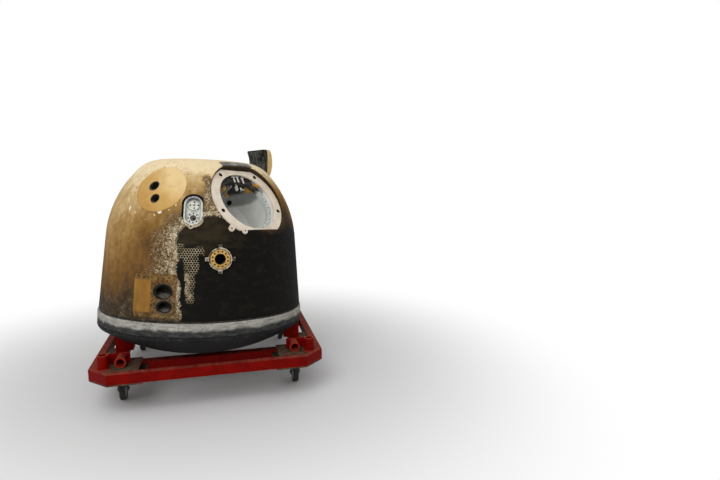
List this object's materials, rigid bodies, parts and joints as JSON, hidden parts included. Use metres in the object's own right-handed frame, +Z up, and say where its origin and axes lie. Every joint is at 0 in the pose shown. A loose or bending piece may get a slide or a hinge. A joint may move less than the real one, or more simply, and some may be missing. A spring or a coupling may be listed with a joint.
{
  "type": "re-entry space capsule on a wheeled dolly",
  "caption": "Small flown re-entry capsule with charred ablator, open parachute bay, thrusters and heat shield, standing on a red swivel-caster dolly.",
  "frame": {"origin": "on the floor, under the middle of the whole outline", "axes": "+Z up; -Y out of the dolly's front, the side the picture shows; +X to the right as seen from the front"},
  "size_m": [1.3137, 1.3355, 1.45],
  "materials": {
    "char_tile": "charred, streaked ablator",
    "smooth_tile": "smooth golden ablator",
    "shield_char": "charred, matt",
    "shield_rim": "weathered grey",
    "dark_bond": "dark bond line",
    "cream_composite": "cream laminate",
    "grey_metal": "grey, satin",
    "silver_metal": "machined",
    "gold_metal": "gold, satin",
    "dark_metal": "dark, sooty",
    "red_paint": "red paint under dust",
    "pad_rubber": "black pad",
    "caster_steel": "zinc plated",
    "caster_hub": "cast, dull",
    "caster_tyre": "black"
  },
  "bodies": {
    "root": {"bay_can": "grey_metal", "bay_fastener_ring": "silver_metal", "bay_flange": "cream_composite", "bay_release_pins": "silver_metal", "bay_strap": "grey_metal", "caster_heads": "caster_steel", "cone_section": "char_tile", "connector_lower_plug": "silver_metal", "connector_plate": "silver_metal", "connector_rim": "cream_composite", "connector_upper_plug": "silver_metal", "corner_plates": "red_paint", "corner_rails": "red_paint", "corner_ribs": "red_paint", "corner_soles": "red_paint", "cross_beams": "red_paint", "end_rails": "red_paint", "groove_ring": "dark_bond", "hatch_hinge": "silver_metal", "hatch_well": "grey_metal", "heat_shield_dish": "shield_char", "heat_shield_rim": "shield_rim", "jack_sleeves": "red_paint", "lower_nozzles": "dark_metal", "nose_section": "char_tile", "saddle_pads": "pad_rubber", "saddle_posts": "red_paint", "side_rails": "red_paint", "stub_pipes": "red_paint", "thruster_panels": "smooth_tile", "thruster_patches": "smooth_tile", "upper_nozzles": "dark_metal", "vent_flange": "cream_composite", "vent_ring": "gold_metal", "vent_tube": "dark_metal"},
    "caster_fl": {"caster_fork_fl": "caster_steel"},
    "wheel_fl": {"caster_hub_fl": "caster_hub", "caster_tyre_fl": "caster_tyre"},
    "caster_fr": {"caster_fork_fr": "caster_steel"},
    "wheel_fr": {"caster_hub_fr": "caster_hub", "caster_tyre_fr": "caster_tyre"},
    "caster_rl": {"caster_fork_rl": "caster_steel"},
    "wheel_rl": {"caster_hub_rl": "caster_hub", "caster_tyre_rl": "caster_tyre"},
    "caster_rr": {"caster_fork_rr": "caster_steel"},
    "wheel_rr": {"caster_hub_rr": "caster_hub", "caster_tyre_rr": "caster_tyre"},
    "hatch_cover": {"hatch_cover_tile": "smooth_tile", "hatch_cover_panel": "grey_metal"}
  },
  "joints": [
    {"name": "hatch_hinge_turn", "type": "hinge", "parent": "root", "child": "hatch_cover", "pos_m": [0.36735, 0.20662, 1.24925], "axis": [-0.4598, 0.8869, -0.0446], "range_deg": [-66, 6]},
    {"name": "caster_fl_swivel", "type": "hinge", "parent": "root", "child": "caster_fl", "pos_m": [-0.4881, -0.3972, 0.1565], "axis": [0, 0, 1], "continuous": true},
    {"name": "wheel_fl_turn", "type": "hinge", "parent": "caster_fl", "child": "wheel_fl", "pos_m": [-0.4881, -0.3592, 0.0625], "axis": [1, 0, 0], "continuous": true},
    {"name": "caster_fr_swivel", "type": "hinge", "parent": "root", "child": "caster_fr", "pos_m": [0.5119, -0.3972, 0.1565], "axis": [0, 0, 1], "continuous": true},
    {"name": "wheel_fr_turn", "type": "hinge", "parent": "caster_fr", "child": "wheel_fr", "pos_m": [0.5119, -0.3592, 0.0625], "axis": [1, 0, 0], "continuous": true},
    {"name": "caster_rl_swivel", "type": "hinge", "parent": "root", "child": "caster_rl", "pos_m": [-0.4881, 0.4428, 0.1565], "axis": [0, 0, 1], "continuous": true},
    {"name": "wheel_rl_turn", "type": "hinge", "parent": "caster_rl", "child": "wheel_rl", "pos_m": [-0.4881, 0.4808, 0.0625], "axis": [1, 0, 0], "continuous": true},
    {"name": "caster_rr_swivel", "type": "hinge", "parent": "root", "child": "caster_rr", "pos_m": [0.5119, 0.4428, 0.1565], "axis": [0, 0, 1], "continuous": true},
    {"name": "wheel_rr_turn", "type": "hinge", "parent": "caster_rr", "child": "wheel_rr", "pos_m": [0.5119, 0.4808, 0.0625], "axis": [1, 0, 0], "continuous": true}
  ]
}
